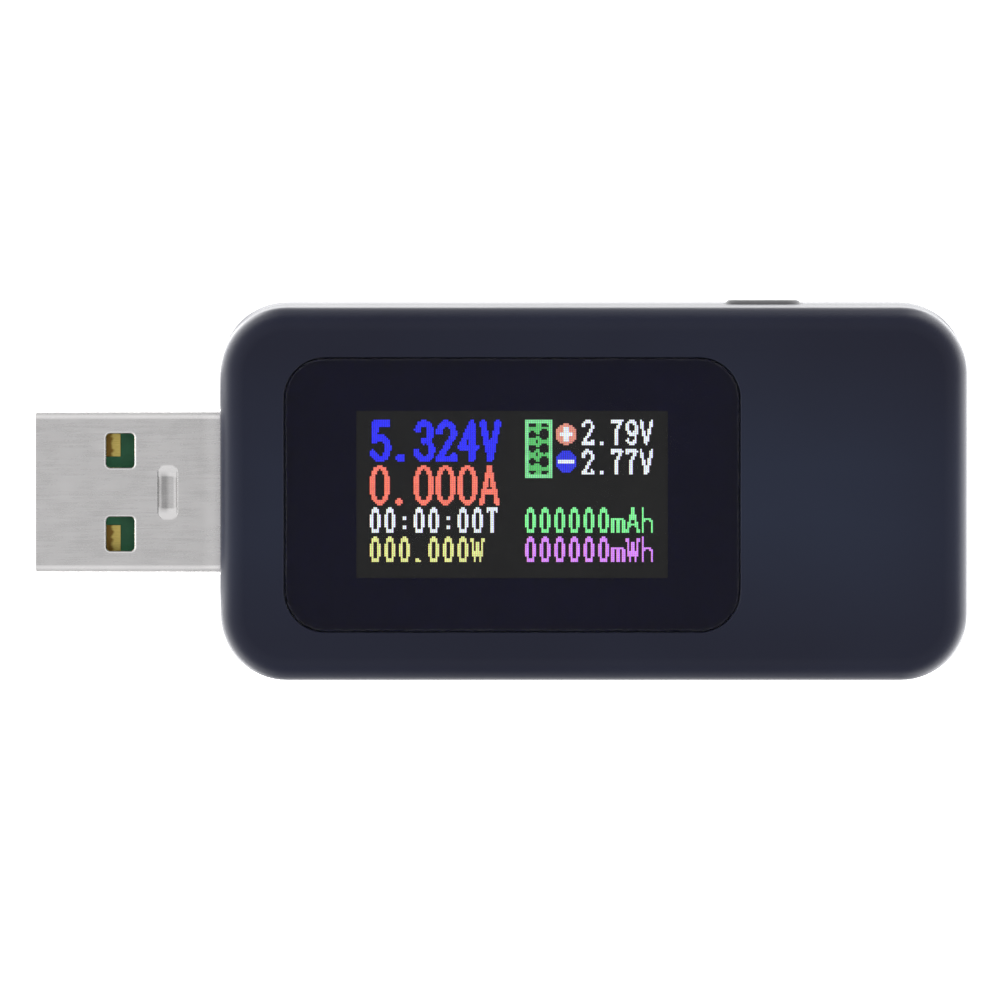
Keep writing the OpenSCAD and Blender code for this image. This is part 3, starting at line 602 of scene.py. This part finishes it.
GLYPHS = {
    "0": [oval(0.5, 0.5, 0.5, 0.5)],
    "2": [oval(0.5, 0.26, 0.48, 0.26, 185, 380) + [(0.0, 1.0)], [(0, 1), (1, 1), (1, 0.9)]],
    "3": [oval(0.46, 0.25, 0.44, 0.25, 195, 450), oval(0.46, 0.74, 0.52, 0.26, 270, 525)],
    "4": [[(0.72, 1), (0.72, 0), (0, 0.68), (1, 0.68)]],
    "5": [[(0.96, 0), (0.14, 0), (0.08, 0.46)] + oval(0.45, 0.70, 0.53, 0.30, 225, 515)],
    "7": [[(0, 0.08), (0, 0), (1, 0), (0.42, 0.45), (0.38, 1)]],
    "9": [oval(0.5, 0.3, 0.46, 0.3), [(0.96, 0.3), (0.94, 0.62)] + oval(0.46, 0.72, 0.48, 0.28, 10, 150)],
    ".": [[(0.32, 0.97), (0.36, 0.97)]],
    ":": [[(0.48, 0.38), (0.52, 0.38)], [(0.48, 0.80), (0.52, 0.80)]],
    "V": [[(0, 0), (0.5, 1), (1, 0)]],
    "A": [[(0, 1), (0.5, 0), (1, 1)], [(0.18, 0.68), (0.82, 0.68)]],
    "T": [[(0, 0.1), (0, 0), (1, 0), (1, 0.1)], [(0.5, 0), (0.5, 1)]],
    "W": [[(0, 0), (0.25, 1), (0.5, 0.15), (0.75, 1), (1, 0)]],
    "m": [[(0, 0.4), (0, 1)], [(0, 0.52), (0.25, 0.4), (0.5, 0.52), (0.5, 1)],
          [(0.5, 0.52), (0.75, 0.4), (1, 0.52), (1, 1)]],
    "h": [[(0, 0), (0, 1)], [(0, 0.55)] + oval(0.5, 0.62, 0.5, 0.2, 200, 360) + [(1, 1)]],
}


def away(p, a, b):
    """Distance from a point to a line piece."""
    ax, ay, bx, by = *a, *b
    length = (bx - ax) ** 2 + (by - ay) ** 2
    t = 0 if length == 0 else max(0, min(1, ((p[0] - ax) * (bx - ax) + (p[1] - ay) * (by - ay)) / length))
    return math.hypot(p[0] - ax - t * (bx - ax), p[1] - ay - t * (by - ay))


def glyph_cells(glyph, left, top, ink, pen):
    """Cells that a glyph lights: its ink box starts at left, top and measures ink cells."""
    strokes = [[(left + x * ink[0], top + y * ink[1]) for x, y in line] for line in GLYPHS[glyph]]
    reach = math.ceil(pen)
    cells = set()
    for column in range(math.floor(left) - reach, math.ceil(left + ink[0]) + reach + 1):
        for row in range(math.floor(top) - reach, math.ceil(top + ink[1]) + reach + 1):
            p = (column + 0.5, row + 0.5)
            if any(away(p, a, b) <= pen for line in strokes for a, b in zip(line, line[1:])):
                cells.add((column, row))
    return cells


# In cells: the step from glyph to glyph, the ink box's place and size in it, the pen's reach, and how much wider
# than a nought the other glyphs are. The second table is the pen's reach for some glyphs, against the font's.
SMALL = {"step": 8, "inset": (2.0, 1.2), "ink": (4.0, 12.3), "pen": 0.88, "wider": 1.0}
LARGE = {"step": 12, "inset": (2.25, 2.1), "ink": (8.5, 19.6), "pen": 1.30, "wider": 0}
HEAVY = {"step": 12, "inset": (2.85, 2.0), "ink": (8.2, 19.6), "pen": 1.75, "wider": 0}
PENS = {".": 1.3, ":": 1.3, "m": 0.62, "W": 0.8}
WIDER = {"0": 0, ".": 0, ":": 0, "A": 2, "V": 2, "W": 2, "m": 2}


def text_cells(text, column, row, font):
    """Cells that a text lights, from the cell where its first glyph's box starts."""
    cells = set()
    for i, glyph in enumerate(text):
        wider = WIDER.get(glyph, 1) * font["wider"]
        left = column + i * font["step"] + font["inset"][0] - wider / 2
        ink = (font["ink"][0] + wider, font["ink"][1])
        cells |= glyph_cells(glyph, left, row + font["inset"][1], ink, font["pen"] * PENS.get(glyph, 1))
    return cells


def block(columns, rows):
    """A rectangle of cells; both ranges leave out their ends."""
    return {(c, r) for c in range(*columns) for r in range(*rows)}


def disc(column, row, r, height=None):
    """A round or oval spot."""
    reach = math.ceil(max(r, height or r))
    return {(c, w) for c in range(int(column) - reach, int(column) + reach + 1)
            for w in range(int(row) - reach, int(row) + reach + 1)
            if math.hypot((c + 0.5 - column) / r, (w + 0.5 - row) / (height or r)) <= 1}


def show(name, cells, material):
    """Blocks for the lit cells, on the panel and clear of the mask."""
    side, low, high = BLOCK * CELL, LEDGE_TOP, LEDGE_TOP + BLOCK_HEIGHT
    margin = (1 - BLOCK) / 2 * CELL
    verts, faces = [], []
    for column, row in sorted(cells):
        x = PANE_X + GRID_SHIFT[0] + (column - GRID[0] / 2) * CELL + margin
        y = GRID_SHIFT[1] + (GRID[1] / 2 - row - 1) * CELL + margin
        n = len(verts)
        verts += [(x + u * side, y + v * side, w)
                  for w in (low, high) for u, v in ((0, 0), (1, 0), (1, 1), (0, 1))]
        faces += [(n, n + 3, n + 2, n + 1), (n + 4, n + 5, n + 6, n + 7)]
        faces += [(n + i, n + (i + 1) % 4, n + (i + 1) % 4 + 4, n + i + 4) for i in range(4)]
    finished(new_object(name, verts, faces), material, "meter")


LIT = {
    "blue": lit_cells("lit_blue", (0.010, 0.010, 1.0), 1.20),
    "red": lit_cells("lit_red", (1.0, 0.18, 0.12), 1.30),
    "white": lit_cells("lit_white", (0.95, 0.94, 1.0), 1.15),
    "yellow": lit_cells("lit_yellow", (0.95, 0.91, 0.32), 1.08),
    "green": lit_cells("lit_green", (0.24, 0.95, 0.32), 1.15),
    "violet": lit_cells("lit_violet", (0.80, 0.26, 1.0), 1.20),
    "pale_green": lit_cells("lit_pale_green", (0.30, 0.95, 0.40), 0.95),
    "pale_red": lit_cells("lit_pale_red", (1.0, 0.34, 0.25), 1.00),
}
# The left block of readings starts at column 0, the right one at RIGHT, and the two line voltages further on.
RIGHT, LINES = 85, 85 + 31.4
show("reading_volts", text_cells("5.324V", 0, 0, HEAVY), LIT["blue"])
show("reading_amps", text_cells("0.000A", 0, 24, LARGE), LIT["red"])
show("reading_time", text_cells("00:00:00T", 0, 48, SMALL), LIT["white"])
show("reading_watts", text_cells("000.000W", 0, 64, SMALL), LIT["yellow"])
show("reading_charge", text_cells("000000mAh", RIGHT, 48, SMALL), LIT["green"])
show("reading_energy", text_cells("000000mWh", RIGHT, 64, SMALL), LIT["violet"])

PLUS, MINUS, MARK = (108.5, 8.0), (108.5, 23.0), 5.6
white_bars = block((105, 112), (7, 9)) | block((107, 110), (4, 12)) | block((104, 113), (22, 24))
lines = text_cells("2.79V", LINES, -0.5, SMALL) | text_cells("2.77V", LINES, 16, SMALL)
show("reading_lines", lines | white_bars, LIT["white"])
show("plus_mark", disc(*PLUS, MARK) - white_bars, LIT["pale_red"])
show("minus_mark", disc(*MINUS, MARK, 6.1) - white_bars, lit_cells("lit_dim_blue", (0.02, 0.03, 1.0), 0.90))

gauge = block((88, 99), (2, 30))
edge = block((86, 101), (0, 32)) - gauge
for row in (8.2, 15.7, 23.0):
    gauge -= disc(90.0, row, 2.1, 1.9) | disc(96.5, row, 3.0, 2.9) | block((91, 95), (int(row), int(row) + 1))
for row in (12.0, 19.4):
    gauge -= disc(92.5, row, 0.9)
for row in (3.2, 28.6):
    gauge -= disc(90.0, row, 2.1, 1.1) | disc(96.6, row, 2.1, 1.1)
show("gauge_edge", edge, LIT["pale_green"])
show("gauge_level", gauge, lit_cells("lit_mid_green", (0.15, 0.80, 0.20), 0.80))

# ---------- USB plug ----------


plug = tube("plug_tube", PLUG, PLUG_CORNER, SHEET, PLUG_TIP, PLUG_ROOT)
for y in (-WINDOW_Y, WINDOW_Y):
    place = (WINDOW_X, y)
    plug = cut(plug, flared("window", WINDOW, WINDOW_CORNER, SEAM, PLUG_FACE, WINDOW_FLARE, "z", place),
               flared("window", WINDOW, WINDOW_CORNER, SEAM - PLUG[1] / 2, SEAM, WINDOW_FLARE, "z", place, "low"))
slot = flared("slot", BRIDGE, 0.5, SEAM + 1, PLUG_FACE, 0.07, "z", (BRIDGE_X + BRIDGE[0] / 2, 0))
seam = slab("fold_seam", (PLUG_TIP - 1, -FOLD_SEAM, SEAM - PLUG[1]),
            (PLUG_ROOT + 1, FOLD_SEAM, SEAM - PLUG[1] / 2 + 0.12))
plug = cut(plug, slot, seam)


def bridge():
    """The strip that is pressed down across the slot, with gently rounded ramps at its ends."""
    rows, columns = 64, 16
    half, width, gap = 2.02, 1.34, 0.03
    below, sink, ramp = 0.012, 0.24, 0.80  # its face below the plug's, how far it is pressed down, and over what
    top, under = [], []
    for i in range(rows + 1):
        y = -half + 2 * half * i / rows
        for j in range(columns + 1):
            t = j / columns
            x = BRIDGE_X + gap + width * t
            across = 2 * t - 1
            reach = 1.98 - 0.16 * across ** 4
            along = min(1, max(0, (reach - abs(y)) / ramp))
            drop = sink * (0.75 * along + 0.25 * (3 * along ** 2 - 2 * along ** 3))
            roll = 0.05 * max(0, abs(across) - 0.7) / 0.3
            top.append((x, y, PLUG_FACE - below - drop - roll))
            under.append((x, y, PLUG_FACE - SHEET - drop - roll))
    n = columns + 1
    count = len(top)
    quads = [(i * n + j, i * n + j + 1, (i + 1) * n + j + 1, (i + 1) * n + j)
             for i in range(rows) for j in range(columns)]
    faces = quads + [tuple(count + v for v in q)[::-1] for q in quads]
    sides = [(i * n + j, (i + 1) * n + j) for i in range(rows) for j in (0, columns)]
    sides += [(i * n + j, i * n + j + 1) for j in range(columns) for i in (0, rows)]
    faces += [(a, b, count + b, count + a) for a, b in sides]
    return new_object("bridge", top + under, faces)


plug = joined(plug, bridge())
finished(plug, PLUG_STEEL, "meter", ["plug_shell"])

inside = SHEET + SLACK
tongue_top = SEAM - 0.08
front_x, front_edge = PLUG_TIP + 0.5, 0.12
tongue = turned("plug_insulator", (PLUG[0] - 2 * inside, PLUG[1] - 2 * inside), PLUG_CORNER - inside,
                [(front_edge, front_x), (0.0, front_x + front_edge), (0, PLUG_ROOT)], "x", (0, SEAM), 6)
tongue = cut(tongue, slab("cut", (front_x - 1, -8, tongue_top), (PLUG_TIP + 12.2, 8, SEAM + 5)))
for y in CONTACTS_Y:
    half, start = (1.02, 1.1) if abs(y) > 2 else (0.57, 2.1)
    tongue = cut(tongue, slab("groove", (PLUG_TIP + start - SLACK, y - half, tongue_top - 0.13),
                              (PAD_END + SLACK, y + half, SEAM + 5)))
finished(tongue, GREEN, "meter", ["plug_tongue"], bevel=0.03)

# ---------- USB socket ----------

socket = tube("socket_tube", SOCKET, SOCKET_CORNER, SHEET, SOCKET_REAR, SOCKET_MOUTH)
root, face = SOCKET_BASE + 0.2, SOCKET[1] / 2
tip, bend = root + 6.8, root + 5.6
finger = [(root - 0.4, face), (root, face), (bend, face - FINGER_BEND), (tip, face - 0.1)]
finger += [(x, z - SHEET) for x, z in reversed(finger)]
for y in FINGER_Y:
    for side in (-1, 1):
        low, high = sorted((SEAM + side * (face - FINGER_BEND), SEAM + side * (face + 1)))
        socket = cut(socket, slab("slot", (root, y - 1.25, low), (root + 7.05, y + 1.25, high)))
        socket = joined(socket, prism("finger", [(x, SEAM + side * z) for x, z in finger], y - 1, y + 1))
finished(socket, STEEL, "meter", ["socket_shell"])

base = turned("socket_insulator", (SOCKET[0] - 2 * inside, SOCKET[1] - 2 * inside), 0.18,
              [(0, SOCKET_REAR + SHEET), (0, SOCKET_BASE - 0.1), (0.1, SOCKET_BASE)], "x", (0, SEAM), 4)
nose = 0.45
tongue = turned("tongue", TONGUE, 0.3, [
    (0, SOCKET_BASE - 0.3), (0, TONGUE_FRONT - nose),
    *[(0.4 - 0.4 * a, TONGUE_FRONT - nose + nose * b) for a, b in arc((0, 0), 1, 15, 70, 4)],
    (0.3, TONGUE_FRONT)], "x", (0, SEAM + TONGUE[1] / 2), 5)
housing = joined(base, tongue)
for y in CONTACTS_Y:
    housing = cut(housing, slab("groove", (SOCKET_REAR - 1, y - 0.5, SEAM - 0.01),
                                (TONGUE_FRONT - 0.6, y + 0.5, SEAM + 0.22)))
finished(housing, GREEN, "meter", ["socket_housing"])

# ---------- Button ----------

crown = BUTTON_HIGH[1]
shoulder = crown - BUTTON_EDGE - 0.02
button = turned("side_button", BUTTON, BUTTON[1] / 2 - ROUND_END, [
    (0, HALF_Y - 1.5), (0, shoulder),
    *[(BUTTON_EDGE - a, shoulder + b) for a, b in arc((0, 0), BUTTON_EDGE, 8, 82, 9)],
    (0.60, crown - 0.01), (0.9, crown)], "y", (BUTTON_X, BUTTON_Z), 12)
flange = turned("flange", (BUTTON[0] + 1.6, BUTTON[1] + 1.0), 0.8,
                [(0, BUTTON_LOW[1]), (0, BUTTON_LOW[1] + 0.75)], "y", (BUTTON_X, BUTTON_Z))
button = joined(button, flange)
finished(button, button_plastic(), "button", ["button_cap"])

# ---------- Stage, light and camera ----------


BASE_GLOW = 0.45
FLOOR_HALF, FLOOR_TOP = 3.0, -0.00002  # metres; the top stays clear of the object's underside


def stage_floor():
    """A white table, lit from below: brightest beyond both ends of the object, and bright close beside it. The
    bands over which each glow fades are metres from the object's middle."""
    half = FLOOR_HALF
    floor = new_object("floor", [(x, y, FLOOR_TOP) for x, y in ((-half, -half), (half, -half), (half, half),
                                                                (-half, half))], [(0, 1, 2, 3)])
    m = Maker("floor_white")
    x, y, _ = m.axes()
    far_y = m.size(y)
    left = m.times(m.ranged(x, 3.8, 0, -0.050, -0.041), m.ranged(x, 0.6, 1.0, -0.4, -0.1))
    right = m.times(m.ranged(x, 0, 3.3, 0.0268, 0.0300), m.ranged(x, 1.0, 0.6, 0.1, 0.4))
    behind = m.times(m.ranged(y, 0, 1, 0.0125, 0.0138), m.ranged(y, 2.3, 0, 0.0155, 0.0215))
    front = m.times(m.ranged(y, 1, 0, -0.0138, -0.0125), m.ranged(y, 0, 2.0, -0.0310, -0.0190))
    close = m.times(m.plus(behind, front), m.ranged(x, 0, 1, -0.029, -0.025))
    flanks = m.times(m.ranged(far_y, 0, 5.5, 0.0077, 0.0097), m.ranged(far_y, 1, 0, 0.020, 0.036))
    along_plug = m.times(m.ranged(x, 0, 1, -0.050, -0.041), m.ranged(x, 1, 0, -0.029, -0.0265))
    near = m.plus(m.times(flanks, along_plug), m.ranged(far_y, 0.30, 0, 0.016, 0.026))
    glow = m.plus(m.plus(left, right), m.plus(m.plus(close, near), BASE_GLOW))
    tone = m.mixed(m.ranged(m.noise(40, 2), 0, 1), (0.69, 0.69, 0.69), (0.71, 0.71, 0.71))
    m.done(Base_Color=tone, Roughness=0.9, Specular_IOR_Level=0.0, Emission_Color=(1, 1, 1, 1),
           Emission_Strength=glow)
    floor.data.materials.append(m.material)


# The room's brightness from the horizon, 0, to straight overhead, 1.
OVERHEAD = ((0.0, 0.46), (0.30, 0.48), (0.60, 0.80), (0.82, 1.06), (0.94, 0.94), (0.990, 0.84), (0.996, 0.26))
LEFT_LIGHT, RIGHT_LIGHT = 1.9, 1.1


def studio_world():
    """A pale room: brighter towards both ends than behind and in front, with a dim patch straight overhead."""
    world = bpy.data.worlds.new("studio")
    world.use_nodes = True
    world.node_tree.nodes.clear()

    def add(kind, inputs=(), **settings):
        return add_node(world.node_tree, kind, inputs, settings)

    def maths(operation, a, b=0.0):
        return add("ShaderNodeMath", {0: a, 1: b}, operation=operation).outputs[0]

    direction = add("ShaderNodeTexCoord").outputs["Generated"]
    x, y, z = add("ShaderNodeSeparateXYZ", {"Vector": direction}).outputs[:3]
    overhead = add("ShaderNodeValToRGB", {"Fac": z})
    ramp = overhead.color_ramp
    while len(ramp.elements) < len(OVERHEAD):
        ramp.elements.new(0.5)
    for element, (at, level) in zip(ramp.elements, OVERHEAD):
        element.position = at
        element.color = (level, level, level, 1)
    sides = add("ShaderNodeMapRange", {"Value": x, "From Min": -1.0, "From Max": 1.0, "To Min": LEFT_LIGHT,
                                       "To Max": RIGHT_LIGHT}).outputs[0]
    low = maths("SUBTRACT", 1.0, maths("ABSOLUTE", z))
    side_light = maths("MULTIPLY", maths("MULTIPLY", sides, low), maths("POWER", maths("ABSOLUTE", x), 2.0))
    level = maths("ADD", overhead.outputs[0], side_light)
    shader = add("ShaderNodeBackground", {"Color": (0.99, 0.99, 1.0, 1), "Strength": level})
    add("ShaderNodeOutputWorld", {"Surface": shader.outputs[0]})
    SCENE.world = world


DISTANCE = 1.5
TILT = math.radians(2.85)
ACROSS = 0.07229  # metres that the picture shows from side to side, at the case's face
SENSOR = 36


def camera():
    """The photo's view: from high above the middle of the picture, and slightly from the button's side."""
    target = Vector((-6.74, -0.39, FACE)) * MM
    data = bpy.data.cameras.new("camera")
    data.sensor_width = SENSOR
    data.lens = SENSOR * DISTANCE / ACROSS
    data.clip_start, data.clip_end = 0.01, 20
    obj = bpy.data.objects.new("camera", data)
    obj.location = target + DISTANCE * Vector((0, math.sin(TILT), math.cos(TILT)))
    obj.rotation_euler = (-TILT, 0, 0)
    SCENE.collection.objects.link(obj)
    SCENE.camera = obj


stage_floor()
studio_world()
camera()
SCENE.view_settings.view_transform = "Standard"
